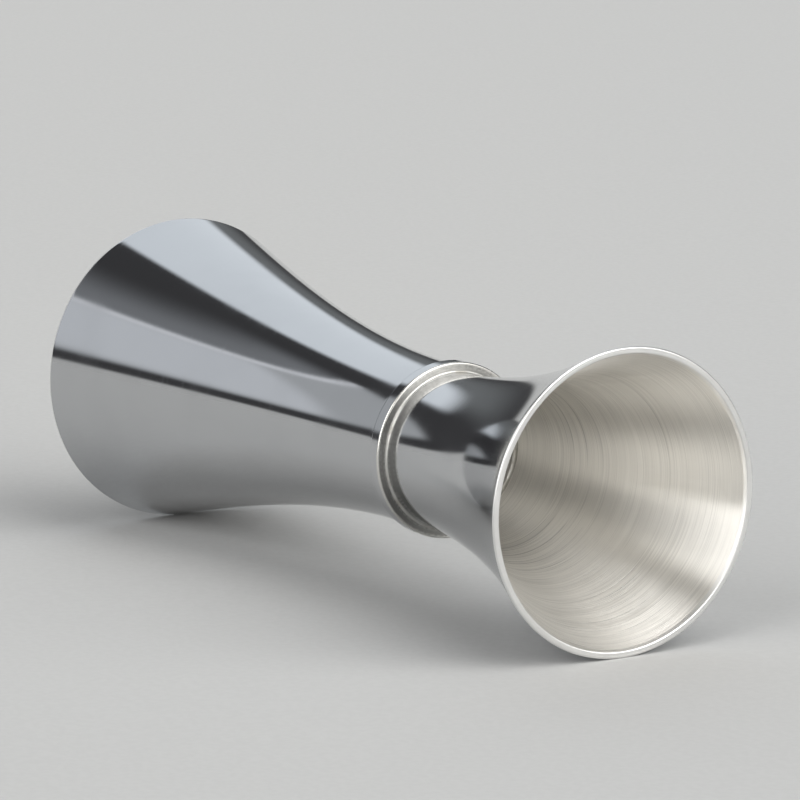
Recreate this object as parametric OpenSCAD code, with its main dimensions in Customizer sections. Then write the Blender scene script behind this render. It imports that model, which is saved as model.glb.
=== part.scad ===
// Double cocktail jigger: two flared steel cups, soldered floor to floor inside a waist collar.
// It lies on its side, with its axis along X and the small mouth towards +X.

/* [Small cup] */
// Outside diameter of the small mouth
small_mouth_d = 44.6; // [38:0.1:52]
// Distance from the collar's face to the small lip
small_cup_len = 44; // [36:0.1:54]
// Outside diameter of the small cup's neck
small_neck_d = 23.3; // [18:0.1:28]
// Half-angle at which the small cup's wall leaves its neck
small_neck_angle = 3.8; // [-2:0.1:7]
// Half-angle of the small cup's wall at its mouth
small_mouth_angle = 24.4; // [14:0.1:32]

/* [Large cup] */
// Outside diameter of the large mouth
large_mouth_d = 47.9; // [40:0.1:56]
// Distance from the collar's back to the large lip
large_cup_len = 76.8; // [60:0.1:95]
// Outside diameter of the large cup's neck
large_neck_d = 24.8; // [18:0.1:30]
// Half-angle at which the large cup's wall leaves its neck
large_neck_angle = -1; // [-4:0.1:3]
// Half-angle of the large cup's wall at its mouth
large_mouth_angle = 14.4; // [8:0.1:22]

/* [Sheet] */
// Thickness of both cups' walls
wall_t = 1; // [0.7:0.05:1.5]
// Radius on both edges of each lip
lip_edge_r = 0.25; // [0.1:0.05:0.35]
// Thickness of the disc that closes each neck
floor_t = 2; // [1.2:0.1:4]

/* [Waist] */
// Axial thickness of the collar
collar_t = 2.3; // [1.8:0.1:5]
// Height of the collar's rim above the wider neck
collar_proud = 0.8; // [0.6:0.05:3]
// Radius on both outer edges of the collar
collar_edge_r = 0.3; // [0.1:0.05:0.4]
// Gap for solder between the necks, the floors and the collar
solder_gap = 0.1; // [0.05:0.01:0.15]
// Leg of the solder fillet on each side of the collar
fillet_leg = 0.3; // [0.2:0.05:0.5]
// Leg of the solder seam round each floor
seam_leg = 0.5; // [0.3:0.1:1]

/* [Hidden] */

// Finish colours: polished steel, turned satin steel and silver solder
polished = [0.80, 0.81, 0.83];
satin = [0.72, 0.71, 0.69];
solder = [0.60, 0.60, 0.58];

$fn = 128;
// Straight steps along each flared wall
wall_steps = 36;
// Straight steps round each small corner
corner_steps = 6;

// Depth to which each neck is seated in the collar
seat_depth = (collar_t - solder_gap) / 2;
// Height of a cup's floor above the collar's face on its side
floor_h = floor_t - seat_depth;
// Straight run of neck above the collar's face, which takes the floor, its seam and the fillet
neck_land = max(floor_h + seam_leg, fillet_leg);
// Height below each lip that its rounded edges need
lip_run = 2.5 * lip_edge_r;

collar_r = max(small_neck_d, large_neck_d) / 2 + collar_proud;
collar_back = large_cup_len;
collar_face = collar_back + collar_t;
overall_len = collar_face + small_cup_len;
// Places where the two necks end inside the collar
small_end = collar_face - seat_depth;
large_end = collar_back + seat_depth;
// Step in the collar's bore: the wider neck ends just short of it
shoulder = small_neck_d < large_neck_d ? small_end : large_end;
// Fillet leg that the collar's narrower side still has room for
fillet = min(fillet_leg, collar_proud - collar_edge_r);

// A cup is its neck radius, mouth radius, length, neck half-angle and mouth half-angle
SMALL = [small_neck_d / 2, small_mouth_d / 2, small_cup_len, small_neck_angle, small_mouth_angle];
LARGE = [large_neck_d / 2, large_mouth_d / 2, large_cup_len, large_neck_angle, large_mouth_angle];

function neck_r(cup) = cup[0];
// Radius of the lip's outer corner before rounding, so that the rounded lip has the stated diameter
function mouth_r(cup) = cup[1] + lip_edge_r * (1 / tan(45 - cup[4] / 2) - 1);
function cup_len(cup) = cup[2];
function bore_r(cup) = neck_r(cup) - wall_t;
function flare_run(cup) = cup_len(cup) - neck_land;

// Terms of the cubic in t, 0 at the neck and 1 at the mouth, that has the two half-angles at its ends
function term_1(cup) = flare_run(cup) * tan(cup[3]);
function term_2(cup) = 3 * (mouth_r(cup) - neck_r(cup)) - 2 * term_1(cup) - flare_run(cup) * tan(cup[4]);
function term_3(cup) = mouth_r(cup) - neck_r(cup) - term_1(cup) - term_2(cup);

function height(cup, t) = neck_land + flare_run(cup) * t;
function outer_r(cup, t) = neck_r(cup) + term_1(cup) * t + term_2(cup) * t^2 + term_3(cup) * t^3;
function slope(cup, t) = (term_1(cup) + 2 * term_2(cup) * t + 3 * term_3(cup) * t^2) / flare_run(cup);
function inner_r(cup, t) = outer_r(cup, t) - wall_t * sqrt(1 + slope(cup, t)^2);

// Points of an arc
function arc(centre, r, from, to) = [
    for (i = [0:corner_steps])
        let (a = from + (to - from) * i / corner_steps)
            centre + r * [cos(a), sin(a)]
];

// Points that round the corner at p with radius r, where a and b point from p along its two edges
function round_corner(p, a, b, r) = let (
    half = acos(a * b) / 2,
    centre = p + r / sin(half) * (a + b) / norm(a + b),
    first = p + r / tan(half) * a - centre,
    start = atan2(first.y, first.x),
    sweep = (180 - 2 * half) * sign(cross(b, a))
) arc(centre, r, start, start + sweep);

// Outline of a cup's wall as [radius, height above the collar's face]
function shell_outline(cup) = let (
    last = 1 - lip_run / flare_run(cup),
    down_wall = [-sin(cup[4]), -cos(cup[4])],
    places = [for (i = [1:wall_steps]) last * i / wall_steps]
) concat(
    [[neck_r(cup), -seat_depth], [neck_r(cup), neck_land]],
    [for (t = places) [outer_r(cup, t), height(cup, t)]],
    round_corner([mouth_r(cup), cup_len(cup)], down_wall, [-1, 0], lip_edge_r),
    round_corner([inner_r(cup, 1), cup_len(cup)], [1, 0], down_wall, lip_edge_r),
    [for (i = [wall_steps - 1:-1:0]) [inner_r(cup, places[i]), height(cup, places[i])]],
    [[bore_r(cup), neck_land], [bore_r(cup), -seat_depth]]
);

// Brim capacity in millilitres: a cylinder above the floor, then a frustum for each step of the wall
function sum(v, i = 0) = i < len(v) ? v[i] + sum(v, i + 1) : 0;
function frustum(r1, r2, h) = PI * h * (r1^2 + r1 * r2 + r2^2) / 3;
function capacity_ml(cup) = let (
    step_h = flare_run(cup) / wall_steps,
    steps = [for (i = [1:wall_steps])
        frustum(inner_r(cup, (i - 1) / wall_steps), inner_r(cup, i / wall_steps), step_h)]
) (PI * bore_r(cup)^2 * (neck_land - floor_h) + sum(steps)) / 1000;

echo(small_cup_ml = capacity_ml(SMALL), large_cup_ml = capacity_ml(LARGE));

// A cup's pieces stand on the collar's face on their side
module small_side() {
    translate([0, 0, collar_face])
        children();
}

module large_side() {
    translate([0, 0, collar_back])
        mirror([0, 0, 1])
            children();
}

// Lays the upright jigger down, resting at height 0
module lying() {
    translate([-overall_len / 2, 0, max(small_mouth_d, large_mouth_d) / 2])
        rotate([0, 90, 0])
            children();
}

module revolve(outline) {
    rotate_extrude()
        polygon(outline);
}

module cup_shell(cup) {
    revolve(shell_outline(cup));
}

module cup_floor(cup) {
    translate([0, 0, -seat_depth])
        cylinder(h = floor_t, r = bore_r(cup));
}

module floor_seam(cup) {
    inside = bore_r(cup) - seam_leg;
    revolve(concat([[bore_r(cup), floor_h]], arc([inside, floor_h + seam_leg], seam_leg, 0, -90)));
}

module large_cup_shell() {
    color(polished) lying() large_side() cup_shell(LARGE);
}

module large_cup_floor() {
    color(satin) lying() large_side() cup_floor(LARGE);
}

module large_floor_seam() {
    color(solder) lying() large_side() floor_seam(LARGE);
}

module small_cup_shell() {
    color(polished) lying() small_side() cup_shell(SMALL);
}

module small_cup_floor() {
    color(satin) lying() small_side() cup_floor(SMALL);
}

module small_floor_seam() {
    color(solder) lying() small_side() floor_seam(SMALL);
}

// Ring with a stepped bore that takes one neck from each side
module waist_collar() {
    small_bore = neck_r(SMALL) + solder_gap;
    large_bore = neck_r(LARGE) + solder_gap;
    color(satin) lying() revolve(concat(
        [[small_bore, shoulder], [small_bore, collar_face]],
        round_corner([collar_r, collar_face], [-1, 0], [0, -1], collar_edge_r),
        round_corner([collar_r, collar_back], [0, 1], [-1, 0], collar_edge_r),
        [[large_bore, collar_back], [large_bore, shoulder]]
    ));
}

// Solder between the floors, along both necks inside the collar, and in a fillet on each side of it
module waist_solder() {
    small_r = neck_r(SMALL);
    large_r = neck_r(LARGE);
    color(solder) lying() revolve(concat(
        [[0, large_end], [large_r, large_end]],
        arc([large_r + fillet, collar_back - fillet], fillet, 180, 90),
        [[large_r + solder_gap, collar_back], [large_r + solder_gap, shoulder]],
        [[small_r + solder_gap, shoulder], [small_r + solder_gap, collar_face]],
        arc([small_r + fillet, collar_face + fillet], fillet, -90, -180),
        [[small_r, small_end], [0, small_end]]
    ));
}

large_cup_shell();
large_cup_floor();
large_floor_seam();
small_cup_shell();
small_cup_floor();
small_floor_seam();
waist_collar();
waist_solder();
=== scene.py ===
"""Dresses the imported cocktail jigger: smooth lathe surfaces and steel finishes, in a studio."""

import math
from collections import namedtuple

import bpy
import numpy as np
from mathutils import Matrix, Vector


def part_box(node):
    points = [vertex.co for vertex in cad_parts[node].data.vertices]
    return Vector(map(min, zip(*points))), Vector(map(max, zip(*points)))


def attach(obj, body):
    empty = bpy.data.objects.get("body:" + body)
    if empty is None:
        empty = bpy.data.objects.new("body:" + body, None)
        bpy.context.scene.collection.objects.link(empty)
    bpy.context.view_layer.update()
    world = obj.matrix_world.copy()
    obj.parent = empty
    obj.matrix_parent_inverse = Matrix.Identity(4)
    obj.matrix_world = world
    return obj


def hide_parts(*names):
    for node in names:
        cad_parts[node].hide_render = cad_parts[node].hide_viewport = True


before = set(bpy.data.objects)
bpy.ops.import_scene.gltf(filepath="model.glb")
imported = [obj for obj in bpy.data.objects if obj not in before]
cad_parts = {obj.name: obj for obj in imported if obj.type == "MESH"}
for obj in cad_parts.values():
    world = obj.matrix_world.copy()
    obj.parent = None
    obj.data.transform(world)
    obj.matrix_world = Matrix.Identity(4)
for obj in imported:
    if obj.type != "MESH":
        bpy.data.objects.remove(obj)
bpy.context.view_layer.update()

bl_info = {
    "name": "Cocktail jigger",
    "version": (1, 0, 0),
    "blender": (4, 5, 0),
    "location": "View3D > Sidebar > Jigger",
    "description": "Dresses a double cocktail jigger in polished and brushed steel",
    "category": "Add Mesh",
}

BODY = "root"
MM = 1e-3
MICRON = 1e-6
FULL_TURN = 2 * math.pi
QUARTER_TURN = math.pi / 2
# Distance in metres to the texture space's axis, so large that the way round it is straight over the jigger
FAR_ASIDE = 1000.0

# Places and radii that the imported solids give
LARGE_LOW, LARGE_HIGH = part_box("large_cup_shell")
SMALL_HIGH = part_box("small_cup_shell")[1]
COLLAR_LOW, COLLAR_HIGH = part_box("waist_collar")
COLLAR_RADIUS = COLLAR_HIGH.y
AXIS_HEIGHT = (COLLAR_LOW.z + COLLAR_HIGH.z) / 2
# Rise of the surface that both lips touch, for each metre along the axis
FLOOR_SLOPE = (LARGE_HIGH.y - SMALL_HIGH.y) / (SMALL_HIGH.x - LARGE_LOW.x)

# Numbers of points along the parts of the profiles
FLARE_POINTS = 150
NECK_POINTS = 12
ROUND_POINTS = 9
LIP_POINTS = 8
DISC_POINTS = 40
DISC_BACK_POINTS = 16
DISC_EDGE_POINTS = 8
COLLAR_POINTS = 16
COLLAR_BORE_POINTS = 10
SEAM_POINTS = 10
FILLET_POINTS = 8

# Lip edge radii between the end of the flare and the mouth, which leaves room for the rounded edges
LIP_ROOM = 2.5

# Unevenness of solder: the greatest share of its leg, then waves to a turn, share and place of each wave
BEAD_SPREAD = 0.12
BEAD_WAVES = ((3, 1.0, 0.6), (7, 0.7, 2.1), (13, 0.5, 4.0))

# Tool lines inside the cups, with places along the axis and half widths in millimetres
ToolLine = namedtuple("ToolLine", "place half_width depth")
TOOL_LINES = (
    ToolLine(49.25, 0.14, 0.8),
    ToolLine(37.2, 0.16, 0.6),
    ToolLine(34.1, 0.22, 1.0),
    ToolLine(31.4, 0.20, 1.0),
    ToolLine(30.3, 0.16, 0.7),
    ToolLine(-52.4, 0.15, 0.7),
    ToolLine(-38.6, 0.20, 1.0),
    ToolLine(-36.9, 0.16, 0.6),
    ToolLine(-17.5, 0.20, 0.8),
)

# Roughness of each finish where it is clean
POLISHED_ROUGHNESS = 0.07
BRUSHED_ROUGHNESS = 0.30
LIP_ROUGHNESS = 0.26
TURNED_ROUGHNESS = 0.30
SOLDER_ROUGHNESS = 0.34
FLOOR_ROUGHNESS = 0.9
FLUX_STAIN = (0.30, 0.27, 0.22)
# Where the burnished outer edge of a turned piece starts and is full, in from its outer radius; its lighter
# colour there is a painted highlight
BURNISH_HIGHLIGHT_START = 0.45 * MM
BURNISH_HIGHLIGHT_FULL = 0.1 * MM
# Depth below the axis at which the scuffed side of the cups, also darkened there as painted shade, starts
# and is full, and how far it leans across
SCUFF_SHADE_START = 5 * MM
SCUFF_SHADE_FULL = 13 * MM
SCUFF_SHADE_LEAN = 0.5
# Share of the way from a hairline's dark end to its bright end that is left where the hairlines fade
HAIRLINE_MIDDLE = 0.55

# Colours of the room behind the panels, with heights in degrees between which each goes over to the next
HORIZON = (0.615, 0.619, 0.610)
HORIZON_HEIGHTS = (1.2, 3)
ROOM = (0.06, 0.06, 0.063)
CEILING_HEIGHTS = (60, 74)
CEILING = (0.15, 0.15, 0.15)
# Soft panels of light, the later ones over the earlier: bearing of the middle, spread, lowest and highest
# height and softness of the edges in degrees, then the colour
Panel = namedtuple("Panel", "bearing spread low high soft colour")
PANELS = (
    Panel(-85, 110, 65, 80, 7, (0.5, 0.51, 0.515)),
    Panel(100, 110, 58, 84, 6, (2.4, 2.4, 2.38)),
    Panel(-124, 58, 9, 40, 7, (0.19, 0.20, 0.205)),
    Panel(-118, 60, 20, 61, 3, (0.96, 1.02, 1.08)),
    Panel(-43, 52, 30, 45, 7, (0.25, 0.26, 0.275)),
    Panel(-47, 52, 8, 35, 2, (0.54, 0.56, 0.58)),
    Panel(-36, 30, 9, 34, 3, (0.76, 0.79, 0.83)),
    Panel(-47, 52, 33, 35, 0.8, (0.86, 0.88, 0.92)),
    Panel(-10, 24, 3, 40, 6, (0.8, 0.8, 0.8)),
    Panel(62, 36, 3, 48, 6, (0.2, 0.2, 0.2)),
    Panel(20, 40, -1, 50, 7, (3.2, 3.19, 3.15)),
    Panel(157, 32, 9, 60, 6, (0.3, 0.31, 0.315)),
    Panel(112, 74, 2, 72, 7, (2.1, 2.09, 2.05)),
    Panel(110, 44, 1, 60, 7, (3.6, 3.58, 3.5)),
)

# Camera's sensor width in millimetres, and the range of distances it sees in metres
SENSOR_WIDTH = 36
NEAREST_SEEN = 0.05
FARTHEST_SEEN = 60


def length(name, description, default):
    """A length property, shown to a hundredth of a millimetre."""
    return bpy.props.FloatProperty(
        name=name, description=description, default=default, unit="LENGTH", precision=5)


def angle(name, description, degrees):
    """An angle property."""
    return bpy.props.FloatProperty(
        name=name, description=description, default=math.radians(degrees), subtype="ANGLE")


def colour(name, description, default):
    """A colour property."""
    return bpy.props.FloatVectorProperty(
        name=name, description=description, default=default, subtype="COLOR", min=0, max=1)


class JiggerSizes(bpy.types.PropertyGroup):
    """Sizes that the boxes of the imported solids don't give."""

    wall: length("Wall", "Thickness of both cups' sheet", 1 * MM)
    lip_edge: length("Lip edge", "Radius on both edges of each lip", 0.25 * MM)
    seam_leg: length("Seam leg", "Leg of the solder seam round each floor", 0.5 * MM)
    fillet_leg: length("Fillet leg", "Leg of the solder fillet on each side of the collar", 0.3 * MM)
    solder_gap: length("Solder gap", "Gap between the necks and the collar", 0.1 * MM)
    collar_edge: length("Collar edge", "Radius on both outer edges of the collar", 0.3 * MM)
    small_neck_angle: angle("Small neck angle", "Half-angle at which the small cup leaves its neck", 3.8)
    small_mouth_angle: angle("Small mouth angle", "Half-angle of the small cup at its mouth", 24.4)
    large_neck_angle: angle("Large neck angle", "Half-angle at which the large cup leaves its neck", -1.0)
    large_mouth_angle: angle("Large mouth angle", "Half-angle of the large cup at its mouth", 14.4)
    segments: bpy.props.IntProperty(
        name="Segments", description="Faces round each piece", default=256, min=32, max=512)


class JiggerFinishes(bpy.types.PropertyGroup):
    """Colours of the finishes."""

    polished: colour("Polished steel", "Mirror-polished outside of the cups", (0.56, 0.567, 0.578))
    brushed: colour("Brushed steel", "Brushed inside of the cups", (0.83, 0.81, 0.77))
    lip: colour("Lip", "Bright edge of the lips", (0.82, 0.815, 0.80))
    turned: colour("Turned steel", "Collar and floors", (0.46, 0.452, 0.43))
    solder: colour("Solder", "Silver solder", (0.62, 0.615, 0.59))


class JiggerStudio(bpy.types.PropertyGroup):
    """Floor, light and camera."""

    floor_colour: colour("Floor", "Pale board that the jigger lies on", (0.58, 0.58, 0.575))
    floor_reach: length("Floor reach", "Distance from the jigger to the floor's edges", 12.0)
    bearing: angle("Bearing", "Camera's bearing, from square to the axis round to the small mouth", 57.21)
    elevation: angle("Elevation", "Camera's angle above the floor", 10.14)
    distance: length("Distance", "From the camera to the point that it looks at", 776.92 * MM)
    aim_along: length("Aim along", "Place along the axis that the camera looks at", 3.08 * MM)
    aim_height: length("Aim height", "Height that the camera looks at", 29.15 * MM)
    lens: bpy.props.FloatProperty(
        name="Lens", description="Focal length in millimetres, on a 36 mm sensor", default=234, min=1)
    light: bpy.props.FloatProperty(
        name="Light", description="Strength of the whole studio's light", default=0.95, min=0)


class Signal:
    """A value that a shader works out. Each operator on it adds a Math node."""

    def __init__(self, wiring, socket):
        self.wiring = wiring
        self.socket = socket

    def maths(self, operation, *others):
        """A Math node on this value and the others, in that order."""
        return self.wiring.maths(operation, self, *others)

    def __add__(self, other):
        return self.maths("ADD", other)

    __radd__ = __add__

    def __mul__(self, other):
        return self.maths("MULTIPLY", other)

    __rmul__ = __mul__

    def __sub__(self, other):
        return self.maths("SUBTRACT", other)

    def __rsub__(self, other):
        return self.wiring.maths("SUBTRACT", other, self)

    def __abs__(self):
        return self.maths("ABSOLUTE")

    def rise(self, low, high):
        """A smooth step from 0 at low to 1 at high, where high may be the lesser."""
        sockets = {"Value": self, "From Min": low, "From Max": high}
        return self.wiring.node("ShaderNodeMapRange", {"interpolation_type": "SMOOTHSTEP"}, sockets)

    def ridge(self, place, half_width):
        """1 at a place, falling smoothly to 0 at half_width on both sides of it."""
        return abs(self - place).rise(half_width, 0)


class Wiring:
    """A node tree that is being wired."""

    def __init__(self, tree):
        self.tree = tree
        self.tree.nodes.clear()

    def node(self, kind, settings, sockets, output=0):
        """Adds a node of a kind: its settings come first, then a value or a link for each socket."""
        made = self.tree.nodes.new(kind)
        for name, value in settings.items():
            setattr(made, name, value)
        for key, value in sockets.items():
            if isinstance(value, Signal):
                self.tree.links.new(value.socket, made.inputs[key])
            else:
                made.inputs[key].default_value = value
        return Signal(self, made.outputs[output]) if len(made.outputs) else None

    def maths(self, operation, *values):
        """A Math node on some values."""
        return self.node("ShaderNodeMath", {"operation": operation}, dict(enumerate(values)))

    def parts(self, vector):
        """The three parts of a vector."""
        first = self.node("ShaderNodeSeparateXYZ", {}, {0: vector})
        return [Signal(self, socket) for socket in first.socket.node.outputs]

    def place(self):
        """A point's distance along the axis, and its distances across it and above it."""
        spot = self.node("ShaderNodeTexCoord", {}, {}, "Object")
        along, across, height = self.parts(spot)
        return along, across, height - AXIS_HEIGHT

    def radius(self, place):
        """A point's distance from the axis."""
        across, above = place[1:]
        return (across * across + above * above).maths("SQRT")

    def grain(self, place, along, around, detail=2.0, roughness=0.5):
        """Noise between 0 and 1, with so many waves to a metre along a place's first part and its others."""
        first, across, above = place
        return self.noise(first * along, across * around, above * around, detail, roughness)

    def noise(self, first, second, third, detail=2.0, roughness=0.5):
        """Noise between 0 and 1 at a point given by three values."""
        spot = self.node("ShaderNodeCombineXYZ", {}, {0: first, 1: second, 2: third})
        sockets = {"Vector": spot, "Scale": 1.0, "Detail": detail, "Roughness": roughness}
        return self.node("ShaderNodeTexNoise", {}, sockets)

    def tint(self, share, first, second):
        """A colour between two, each a link or three numbers."""
        ends = [c if isinstance(c, Signal) else (*c, 1) for c in (first, second)]
        return self.node("ShaderNodeMix", {"data_type": "RGBA"}, {0: share, 6: ends[0], 7: ends[1]}, 2)


def metal(name, wire, stretch=0.0):
    """A steel or solder finish, where wire gives its colour, its roughness and its height in metres.

    Stretch, from 0 to 1, draws its gloss out along the jigger's axis, as brushing round the axis does.
    """
    material = bpy.data.materials.new(name)
    material.use_nodes = True
    wiring = Wiring(material.node_tree)
    base, roughness, height = wire(wiring)
    normal = wiring.node("ShaderNodeBump", {}, {"Strength": 1.0, "Distance": 1.0, "Height": height})
    sockets = {"Base Color": base, "Metallic": 1.0, "Roughness": roughness, "Normal": normal,
               "Anisotropic": stretch}
    shader = wiring.node("ShaderNodeBsdfPrincipled", {}, sockets)
    wiring.node("ShaderNodeOutputMaterial", {}, {"Surface": shader})
    return material


def shade(base, factor):
    """A colour made lighter or darker."""
    return [part * factor for part in base]


def polished_steel(base):
    """Mirror polish: faint clouds of handling, the wheel's hairlines and the slight wave of spun sheet."""

    def wire(w):
        place = w.place()
        cloud = w.grain(place, along=70, around=70, detail=3.0, roughness=0.55)
        hair = w.grain(place, along=3200, around=30, detail=1.0)
        wave = w.grain(place, along=160, around=45, detail=1.0)
        ripple = w.grain(place, along=900, around=12, detail=1.0)
        roughness = POLISHED_ROUGHNESS + cloud.rise(0.42, 0.72) * 0.05 + hair.rise(0.62, 0.8) * 0.05
        height = wave * (3.0 * MICRON) + ripple * (1.4 * MICRON) + hair * (0.10 * MICRON)
        return w.tint(cloud.rise(0.35, 0.75), base, shade(base, 0.96)), roughness, height

    return metal("polished_steel", wire)


def brushed_steel(base):
    """Brushing round the axis: gloss drawn out lengthwise, hairlines, a scuffed lower side with painted
    shade, and tool lines.

    The hairlines fade in and out round the cup. The scuffs are deeper scratches, in patches, and their
    darker colour on the lower side is painted shade.
    """

    def wire(w):
        place = w.place()
        along, across, above = place
        groove = w.grain(place, along=32000, around=45, detail=0.0)
        scratch = w.grain(place, along=6500, around=45, detail=1.0, roughness=0.6)
        band = w.grain(place, along=420, around=18)
        patch = w.grain(place, along=60, around=60)
        # The lower side gets deeper scratches for real, and the darker colour they give it is painted shade
        side = (above + across * SCUFF_SHADE_LEAN).rise(-SCUFF_SHADE_START, -SCUFF_SHADE_FULL)
        scuffs_and_painted_shade = side * patch.rise(0.30, 0.50)
        strong = scratch.rise(0.56, 0.74) * (patch.rise(0.40, 0.62) * 0.4 + scuffs_and_painted_shade)
        tool = w.noise(0.0, across * 55, above * 55, 1.0).rise(0.42, 0.58)
        ridges = [along.ridge(line.place * MM, line.half_width * MM) * line.depth for line in TOOL_LINES]
        lines = sum(ridges) * tool
        fine = groove * (8 * MICRON) + scratch * (1 + scuffs_and_painted_shade) * (24 * MICRON) + band * (4 * MICRON)
        height = fine - strong * (12 * MICRON) - lines * (24 * MICRON)
        roughness = BRUSHED_ROUGHNESS + band * 0.05 + strong * 0.06
        fade = 0.2 + w.grain(place, along=800, around=75, detail=1.0).rise(0.32, 0.68) * 0.8 + scuffs_and_painted_shade
        brightness = (scratch * 0.85 + band * 0.15).rise(0.34, 0.66)
        hairline = HAIRLINE_MIDDLE + (brightness - HAIRLINE_MIDDLE) * fade
        worn = w.tint(hairline, shade(base, 0.87), shade(base, 1.09))
        # Darker colour for deep scratches and tool lines; the extra darkening on the scuffed lower side is
        # painted shade
        return w.tint(strong * 0.75 + lines * 0.6, worn, shade(base, 0.5)), roughness, height

    return metal("brushed_steel", wire, stretch=1.0)


def lip_steel(base):
    """A lip ground flat: fine rings, and patches that use has rubbed duller."""

    def wire(w):
        place = w.place()
        along, across, above = place
        rings = (w.radius(place) + along, across, above)
        ring = w.grain(rings, along=6500, around=60, detail=1.0)
        rub = w.grain(place, along=200, around=200)
        roughness = LIP_ROUGHNESS + ring * 0.10 + rub.rise(0.5, 0.7) * 0.06
        return w.tint(rub.rise(0.35, 0.7), base, shade(base, 0.94)), roughness, ring * (20 * MICRON)

    return metal("lip_steel", wire)


def turned_steel(name, base, edge_radius):
    """Turned on a lathe: close rings on the faces and the rim, and a burnished outer edge whose lighter
    colour is a painted highlight.
    """

    def wire(w):
        place = w.place()
        along, across, above = place
        radius = w.radius(place)
        rings = (radius + along, across, above)
        ring = w.grain(rings, along=7000, around=90, detail=1.0)
        feed = w.grain(rings, along=1500, around=25, roughness=0.6)
        dull = w.grain(place, along=300, around=300, detail=3.0)
        speck = w.grain(place, along=2600, around=2600, detail=1.0)
        # Burnished outer edge: it is smoother for real, while its colour made 1.6 times lighter is a painted
        # highlight
        edge = radius.rise(edge_radius - BURNISH_HIGHLIGHT_START, edge_radius - BURNISH_HIGHLIGHT_FULL)
        height = ring * (30 * MICRON) + feed * (40 * MICRON)
        roughness = TURNED_ROUGHNESS + feed * 0.08 + dull.rise(0.45, 0.7) * 0.08 - edge * 0.12
        bright = feed.rise(0.4, 0.65) * speck.rise(0.36, 0.6)
        worn = w.tint(bright, shade(base, 0.72), shade(base, 1.12))
        # The lighter colour at the outer edge is a painted highlight
        return w.tint(edge, worn, shade(base, 1.6)), roughness, height

    return metal(name, wire)


def silver_solder(base):
    """Solder as it froze: small lumps, and dull brownish traces of flux."""

    def wire(w):
        place = w.place()
        lump = w.grain(place, along=900, around=900)
        stain = w.grain(place, along=260, around=260, detail=3.0, roughness=0.6).rise(0.48, 0.68)
        roughness = SOLDER_ROUGHNESS + lump * 0.12 + stain * 0.18
        return w.tint(stain * 0.5, base, FLUX_STAIN), roughness, lump * (60 * MICRON)

    return metal("silver_solder", wire)


def eased(start, end, count):
    """Points on a straight line, closer together towards both ends, so that its shading stays flat."""
    share = (1 - np.cos(np.linspace(0, np.pi, count))) / 2
    return np.asarray(start) + share[:, None] * (np.asarray(end) - np.asarray(start))


def arc(centre, radius, start, end, count):
    """Points of an arc, with its angles in radians."""
    turn = np.linspace(start, end, count)
    return np.asarray(centre) + radius * np.stack([np.cos(turn), np.sin(turn)], -1)


def rounded(corner, first, second, radius):
    """An arc that rounds a corner, where first and second are unit directions from it along its edges."""
    corner, first, second = (np.asarray(v, float) for v in (corner, first, second))
    half = np.arccos(first @ second) / 2
    middle = (first + second) / np.linalg.norm(first + second)
    centre = corner + radius / np.sin(half) * middle
    lead = corner + radius / np.tan(half) * first - centre
    start = np.arctan2(lead[1], lead[0])
    bend = (np.pi - 2 * half) * np.sign(second[0] * first[1] - second[1] * first[0])
    return arc(centre, radius, start, start + bend, ROUND_POINTS)


class Cup:
    """One cup's sizes. Heights run from the collar's face on its side towards its mouth."""

    def __init__(self, sizes, side):
        small = side == "small"
        shell = "small_cup_shell" if small else "large_cup_shell"
        disc = "small_cup_floor" if small else "large_cup_floor"
        self.side = side
        self.direction = 1 if small else -1
        self.face = COLLAR_HIGH.x if small else COLLAR_LOW.x
        ends = [self.height(corner.x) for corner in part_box(shell)]
        floor_ends = [self.height(corner.x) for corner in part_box(disc)]
        self.seat = min(ends)
        self.mouth = max(ends)
        self.floor = max(floor_ends)
        self.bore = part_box(disc)[1].y
        self.neck = self.bore + sizes.wall
        self.wall = sizes.wall
        self.lip_edge = sizes.lip_edge
        self.land = self.floor + sizes.seam_leg
        self.neck_angle = sizes.small_neck_angle if small else sizes.large_neck_angle
        self.mouth_angle = sizes.small_mouth_angle if small else sizes.large_mouth_angle
        sharp = 1 / math.tan(math.pi / 4 - self.mouth_angle / 2) - 1
        self.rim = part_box(shell)[1].y + self.lip_edge * sharp

    def height(self, along):
        """Height above the collar's face of a place along the axis."""
        return (along - self.face) * self.direction

    def along(self, height):
        """Place along the axis of a height."""
        return self.face + height * self.direction

    def walls(self, share):
        """Height, outside radius and inside radius at a share of the flare, 0 at neck and 1 at mouth.

        The outside radius is a cubic in the share that leaves the neck at one half-angle and reaches the
        rim at the other. The inside radius is less by the wall's thickness over the cosine of its slope.
        """
        rise = self.mouth - self.land
        first = rise * math.tan(self.neck_angle)
        second = 3 * (self.rim - self.neck) - 2 * first - rise * math.tan(self.mouth_angle)
        third = self.rim - self.neck - first - second
        outside = self.neck + first * share + second * share**2 + third * share**3
        slope = (first + 2 * second * share + 3 * third * share**2) / rise
        return self.land + rise * share, outside, outside - self.wall * np.sqrt(1 + slope**2)


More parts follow.
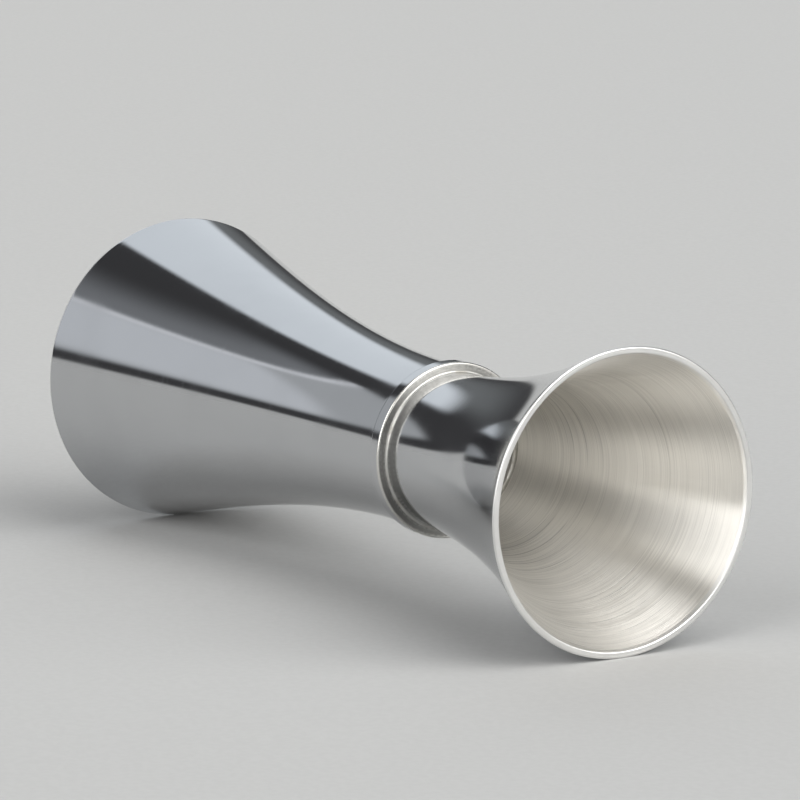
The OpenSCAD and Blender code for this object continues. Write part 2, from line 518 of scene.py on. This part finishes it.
def shell_section(cup):
    """Closed outline of a cup's wall as height and radius, and the finish of each of its steps.

    It runs up the outside from the seat in the collar, round the lip and down the inside. Finish 0 is the
    outside, 1 the lip and 2 the inside.
    """
    last = 1 - LIP_ROOM * cup.lip_edge / (cup.mouth - cup.land)
    share = last * (1 - np.cos(np.linspace(0, np.pi, FLARE_POINTS))) / 2
    height, outside, inside = cup.walls(share)
    inner_rim = cup.walls(np.array([1.0]))[2][0]
    down = (-math.cos(cup.mouth_angle), -math.sin(cup.mouth_angle))
    out = np.concatenate([
        eased((cup.seat, cup.neck), (cup.land, cup.neck), NECK_POINTS)[:-1],
        np.stack([height, outside], -1),
    ])
    outer_round = rounded((cup.mouth, cup.rim), down, (0, -1), cup.lip_edge)
    inner_round = rounded((cup.mouth, inner_rim), (0, 1), down, cup.lip_edge)
    flat = eased(outer_round[-1], inner_round[0], LIP_POINTS)[1:-1]
    back = np.concatenate([
        np.stack([height, inside], -1)[::-1],
        eased((cup.land, cup.bore), (cup.seat, cup.bore), NECK_POINTS)[1:],
    ])
    parts = [out, np.concatenate([outer_round, flat, inner_round]), back]
    finish = np.concatenate([np.full(len(part), index) for index, part in enumerate(parts)])
    finish[-1] = 0
    return np.concatenate(parts), finish


def beads(segments):
    """Unevenness round a soldered joint: 1 plus a few waves of fixed lengths and places."""
    turn = np.linspace(0, FULL_TURN, segments, endpoint=False)
    counts, shares, places = np.array(BEAD_WAVES).T
    waves = shares @ np.sin(counts[:, None] * turn + places[:, None])
    return 1 + BEAD_SPREAD * waves / shares.sum()


def lathe(along, radius, closed):
    """Vertices and faces of a profile carried round the axis.

    along and radius are grids of profile points by segments. Each vertex is at the radius times the cosine
    and sine of its turn, from the axis. A closed profile joins its end to its start. An open one starts and
    ends on the axis, where each end becomes a single vertex.
    """
    rows, segments = along.shape
    turn = np.linspace(0, FULL_TURN, segments, endpoint=False)
    across = radius * np.cos(turn)
    height = AXIS_HEIGHT + radius * np.sin(turn)
    grid = np.stack([along, across, height], -1).reshape(-1, 3)
    step = np.arange(rows if closed else rows - 1)[:, None]
    here = np.arange(segments)[None, :]
    ahead = (here + 1) % segments
    following = (step + 1) % rows
    quads = np.stack([step * segments + here, step * segments + ahead,
                      following * segments + ahead, following * segments + here], -1)
    if closed:
        return grid, quads.reshape(-1, 4).tolist()
    grid = grid[segments - 1:len(grid) - segments + 1]
    quads = (quads[1:-1] - (segments - 1)).reshape(-1, 4)
    first_ring = 1 + np.arange(segments)
    last_ring = len(grid) - 1 - segments + np.arange(segments)
    start = np.stack([np.zeros(segments, int), np.roll(first_ring, -1), first_ring], -1)
    end = np.stack([np.full(segments, len(grid) - 1), last_ring, np.roll(last_ring, -1)], -1)
    return grid, start.tolist() + quads.tolist() + end.tolist()


def outward(grid, faces):
    """The faces, turned over if they enclose a negative volume."""
    corners = np.array([face[:3] for face in faces])
    far = np.array([face[-1] for face in faces])
    a, b, c, d = grid[corners[:, 0]], grid[corners[:, 1]], grid[corners[:, 2]], grid[far]
    volume = (np.cross(a, b) * c).sum() + (np.cross(a, c) * d).sum()
    return faces if volume > 0 else [face[::-1] for face in faces]


def add_piece(name, surface, materials, finish, node):
    """Puts a surface into the scene as a piece that stands for a CAD node and moves with its body.

    A stretched gloss runs round the upright axis of the mesh's texture space, so that space is set far to
    one side, where the way round it is along the jigger's axis.
    """
    grid, faces = surface
    mesh = bpy.data.meshes.new(name)
    mesh.from_pydata(grid.tolist(), [], outward(grid, faces))
    mesh.polygons.foreach_set("use_smooth", np.ones(len(mesh.polygons), bool))
    mesh.use_auto_texspace = False
    mesh.texspace_location = (0, FAR_ASIDE, 0)
    mesh.texspace_size = (1, 1, 1)
    for material in materials:
        mesh.materials.append(material)
    if finish is not None:
        mesh.polygons.foreach_set("material_index", finish.astype(np.int32))
    if mesh.validate():
        raise RuntimeError(f"{name} has faces that Blender had to mend")
    mesh.update()
    piece = bpy.data.objects.new(name, mesh)
    bpy.context.scene.collection.objects.link(piece)
    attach(piece, BODY)
    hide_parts(node)
    return piece


def around(profile, segments):
    """A profile's two columns as grids of profile points by segments."""
    return [np.repeat(column[:, None], segments, 1) for column in np.asarray(profile).T]


class JIGGER_OT_cup_shells(bpy.types.Operator):
    """Makes both cups' walls: polished outside, brushed inside, with bright lips"""

    bl_idname = "jigger.cup_shells"
    bl_label = "Cup shells"

    def execute(self, context):
        sizes = context.scene.jigger_sizes
        colours = context.scene.jigger_finishes
        finishes = [
            polished_steel(colours.polished),
            lip_steel(colours.lip),
            brushed_steel(colours.brushed),
        ]
        for side in ("large", "small"):
            cup = Cup(sizes, side)
            section, finish = shell_section(cup)
            height, radius = around(section, sizes.segments)
            surface = lathe(cup.along(height), radius, True)
            add_piece(f"{side}_cup", surface, finishes, np.repeat(finish, sizes.segments),
                      f"{side}_cup_shell")
        return {"FINISHED"}


class JIGGER_OT_cup_floors(bpy.types.Operator):
    """Makes the turned disc that closes each cup's neck"""

    bl_idname = "jigger.cup_floors"
    bl_label = "Cup floors"

    def execute(self, context):
        sizes = context.scene.jigger_sizes
        base = context.scene.jigger_finishes.turned
        for side in ("large", "small"):
            cup = Cup(sizes, side)
            profile = np.concatenate([
                eased((cup.seat, 0), (cup.seat, cup.bore), DISC_BACK_POINTS)[:-1],
                eased((cup.seat, cup.bore), (cup.floor, cup.bore), DISC_EDGE_POINTS)[:-1],
                eased((cup.floor, cup.bore), (cup.floor, 0), DISC_POINTS),
            ])
            height, radius = around(profile, sizes.segments)
            surface = lathe(cup.along(height), radius, False)
            steel = turned_steel(f"{side}_floor_steel", base, cup.bore + cup.wall)
            add_piece(f"{side}_floor_disc", surface, [steel], None, f"{side}_cup_floor")
        return {"FINISHED"}


class JIGGER_OT_waist_collar(bpy.types.Operator):
    """Makes the turned ring that takes both necks"""

    bl_idname = "jigger.waist_collar"
    bl_label = "Waist collar"

    def execute(self, context):
        sizes = context.scene.jigger_sizes
        large = Cup(sizes, "large")
        small = Cup(sizes, "small")
        edge = sizes.collar_edge
        small_bore = small.neck + sizes.solder_gap
        large_bore = large.neck + sizes.solder_gap
        shoulder = small.along(small.seat)
        front = COLLAR_HIGH.x
        back = COLLAR_LOW.x
        front_round = rounded((front, COLLAR_RADIUS), (0, -1), (-1, 0), edge)
        back_round = rounded((back, COLLAR_RADIUS), (1, 0), (0, -1), edge)
        face = [
            eased((shoulder, small_bore), (front, small_bore), COLLAR_BORE_POINTS)[:-1],
            eased((front, small_bore), front_round[0], COLLAR_POINTS)[:-1],
            front_round[:-1],
        ]
        rim = [
            eased(front_round[-1], back_round[0], COLLAR_POINTS)[:-1],
            back_round[:-1],
        ]
        rear = [
            eased(back_round[-1], (back, large_bore), COLLAR_POINTS)[:-1],
            eased((back, large_bore), (shoulder, large_bore), COLLAR_BORE_POINTS)[:-1],
            eased((shoulder, large_bore), (shoulder, small_bore), COLLAR_BORE_POINTS)[:-1],
        ]
        parts = [np.concatenate(part) for part in (face, rim, rear)]
        finish = np.concatenate([np.full(len(part), index) for part, index in zip(parts, (0, 1, 0))])
        colours = context.scene.jigger_finishes
        steels = [
            turned_steel("collar_steel", colours.turned, COLLAR_RADIUS),
            bpy.data.materials["polished_steel"],
        ]
        surface = lathe(*around(np.concatenate(parts), sizes.segments), True)
        add_piece("collar_ring", surface, steels, np.repeat(finish, sizes.segments),
                  "waist_collar")
        return {"FINISHED"}


class JIGGER_OT_solder(bpy.types.Operator):
    """Makes the solder: a seam round each floor, and the joint inside the collar with its two fillets"""

    bl_idname = "jigger.solder"
    bl_label = "Solder"

    def execute(self, context):
        sizes = context.scene.jigger_sizes
        solder = silver_solder(context.scene.jigger_finishes.solder)
        uneven = beads(sizes.segments)
        cups = [Cup(sizes, side) for side in ("large", "small")]
        for cup in cups:
            hollow = arc((1, 1), 1, -QUARTER_TURN, -2 * QUARTER_TURN, SEAM_POINTS)
            curve = np.concatenate([[(0.0, 0.0)], hollow])
            leg = sizes.seam_leg * uneven
            height = cup.floor + curve[:, :1] * leg
            radius = cup.bore - curve[:, 1:] * leg
            surface = lathe(cup.along(height), radius, True)
            add_piece(f"{cup.side}_solder_seam", surface, [solder], None,
                      f"{cup.side}_floor_seam")
        self.waist(sizes, solder, uneven, *cups)
        return {"FINISHED"}

    def waist(self, sizes, solder, uneven, large, small):
        """The joint fills the gaps between necks, floors and collar, and ends in a fillet on each side."""
        gap = sizes.solder_gap
        shoulder = small.along(small.seat)
        bend = arc((1, 1), 1, -2 * QUARTER_TURN, -QUARTER_TURN, FILLET_POINTS)
        leg = sizes.fillet_leg * uneven
        turns = np.ones(sizes.segments)

        def ring(along, radius):
            """One row of the grid, a circle about the axis."""
            return np.stack([along * turns, radius * turns])[:, None]

        out = bend[:, 1:] * leg
        up = bend[:, :1] * leg
        large_fillet = np.stack([COLLAR_LOW.x - out, large.neck + up])
        small_fillet = np.stack([COLLAR_HIGH.x + out, small.neck + up])[:, ::-1]
        grid = np.concatenate([
            ring(large.along(large.seat), 0),
            ring(large.along(large.seat), large.neck),
            large_fillet,
            ring(COLLAR_LOW.x, large.neck + gap),
            ring(shoulder, large.neck + gap),
            ring(shoulder, small.neck + gap),
            ring(COLLAR_HIGH.x, small.neck + gap),
            small_fillet,
            ring(shoulder, small.neck),
            ring(shoulder, 0),
        ], 1)
        add_piece("waist_solder_joint", lathe(*grid, False), [solder], None, "waist_solder")


def floor_axes():
    """The floor's own axes: along the jigger, across it and up, tilted so that both lips touch it."""
    along = Vector((1, 0, FLOOR_SLOPE)).normalized()
    across = Vector((0, 1, 0))
    return along, across, along.cross(across)


class JIGGER_OT_stage(bpy.types.Operator):
    """Makes the pale floor, the soft studio light and the camera"""

    bl_idname = "jigger.stage"
    bl_label = "Stage"

    def execute(self, context):
        studio = context.scene.jigger_studio
        self.floor(context.scene, studio)
        self.light(context.scene, studio)
        self.camera(context.scene, studio)
        context.scene.view_settings.view_transform = "Standard"
        return {"FINISHED"}

    def floor(self, scene, studio):
        """A plain board through the lowest point of each lip."""
        along, across = floor_axes()[:2]
        middle = Vector((0, 0, FLOOR_SLOPE * -LARGE_LOW.x))
        corners = [middle + studio.floor_reach * (a * along + b * across)
                   for a, b in ((-1, -1), (1, -1), (1, 1), (-1, 1))]
        mesh = bpy.data.meshes.new("floor")
        mesh.from_pydata(corners, [], [(0, 1, 2, 3)])
        material = bpy.data.materials.new("pale_board")
        material.use_nodes = True
        w = Wiring(material.node_tree)
        spot = w.parts(w.node("ShaderNodeTexCoord", {}, {}, "Object"))
        grain = w.grain(spot, along=900, around=900)
        base = studio.floor_colour
        sockets = {"Base Color": w.tint(grain.rise(0.3, 0.7), shade(base, 0.985), shade(base, 1.015)),
                   "Roughness": FLOOR_ROUGHNESS, "Specular IOR Level": 0.0}
        shader = w.node("ShaderNodeBsdfPrincipled", {}, sockets)
        w.node("ShaderNodeOutputMaterial", {}, {"Surface": shader})
        mesh.materials.append(material)
        board = bpy.data.objects.new("floor", mesh)
        scene.collection.objects.link(board)

    def light(self, scene, studio):
        """A dim room with soft panels all round it, set out by bearing and height in degrees."""
        world = bpy.data.worlds.new("studio")
        world.use_nodes = True
        scene.world = world
        w = Wiring(world.node_tree)
        x, y, z = w.parts(w.node("ShaderNodeTexCoord", {}, {}, "Generated"))
        height = z.maths("ARCSINE")

        def above(heights):
            """0 below the first of two heights and 1 above the second."""
            return height.rise(*(math.radians(limit) for limit in heights))

        def inside(panel):
            """1 inside a panel of the sky, with soft edges."""
            turn = math.radians(panel.bearing)
            sine = x * math.cos(turn) + y * math.sin(turn)
            cosine = x * math.sin(turn) - y * math.cos(turn)
            aside = abs(sine.maths("ARCTAN2", cosine))
            half = math.radians(panel.spread / 2)
            low = math.radians(panel.low)
            high = math.radians(panel.high)
            soft = math.radians(panel.soft)
            upright = height.rise(low - soft, low + soft) * height.rise(high + soft, high - soft)
            return aside.rise(half + soft, half - soft) * upright

        sky = w.tint(above(HORIZON_HEIGHTS), HORIZON, ROOM)
        sky = w.tint(above(CEILING_HEIGHTS), sky, CEILING)
        for panel in PANELS:
            sky = w.tint(inside(panel), sky, panel.colour)
        sockets = {"Color": sky, "Strength": studio.light}
        w.node("ShaderNodeOutputWorld", {}, {"Surface": w.node("ShaderNodeBackground", {}, sockets)})

    def camera(self, scene, studio):
        """Looks at a point over the floor from a bearing and an elevation, with the floor kept level."""
        along, across, up = floor_axes()
        level = math.sin(studio.bearing) * along - math.cos(studio.bearing) * across
        back = math.cos(studio.elevation) * level + math.sin(studio.elevation) * up
        right = up.cross(back).normalized()
        aim = Vector((studio.aim_along, 0, studio.aim_height))
        data = bpy.data.cameras.new("camera")
        data.sensor_width = SENSOR_WIDTH
        data.lens = studio.lens
        data.clip_start = NEAREST_SEEN
        data.clip_end = FARTHEST_SEEN
        camera = bpy.data.objects.new("camera", data)
        turned = Matrix((right, back.cross(right), back)).transposed().to_4x4()
        camera.matrix_world = Matrix.Translation(aim + studio.distance * back) @ turned
        scene.collection.objects.link(camera)
        scene.camera = camera


OPERATORS = (
    JIGGER_OT_cup_shells,
    JIGGER_OT_cup_floors,
    JIGGER_OT_waist_collar,
    JIGGER_OT_solder,
    JIGGER_OT_stage,
)


class JIGGER_PT_panel(bpy.types.Panel):
    """Lists the jigger's sizes, colours and operators"""

    bl_idname = "JIGGER_PT_panel"
    bl_label = "Cocktail jigger"
    bl_space_type = "VIEW_3D"
    bl_region_type = "UI"
    bl_category = "Jigger"

    def draw(self, context):
        scene = context.scene
        for group in (scene.jigger_sizes, scene.jigger_finishes, scene.jigger_studio):
            box = self.layout.box()
            for name in group.__annotations__:
                box.prop(group, name)
        for operator in OPERATORS:
            self.layout.operator(operator.bl_idname)


GROUPS = {
    "jigger_sizes": JiggerSizes,
    "jigger_finishes": JiggerFinishes,
    "jigger_studio": JiggerStudio,
}


def register():
    """Registers the classes and hangs the property groups on the scene."""
    for cls in (*GROUPS.values(), *OPERATORS, JIGGER_PT_panel):
        bpy.utils.register_class(cls)
    for name, group in GROUPS.items():
        setattr(bpy.types.Scene, name, bpy.props.PointerProperty(type=group))


def unregister():
    """Takes the property groups off the scene and unregisters the classes."""
    for name in GROUPS:
        delattr(bpy.types.Scene, name)
    for cls in (JIGGER_PT_panel, *reversed(OPERATORS), *reversed(GROUPS.values())):
        bpy.utils.unregister_class(cls)


def main():
    """Makes every piece and the stage."""
    register()
    bpy.ops.jigger.cup_shells()
    bpy.ops.jigger.cup_floors()
    bpy.ops.jigger.waist_collar()
    bpy.ops.jigger.solder()
    bpy.ops.jigger.stage()


if __name__ == "__main__":
    main()
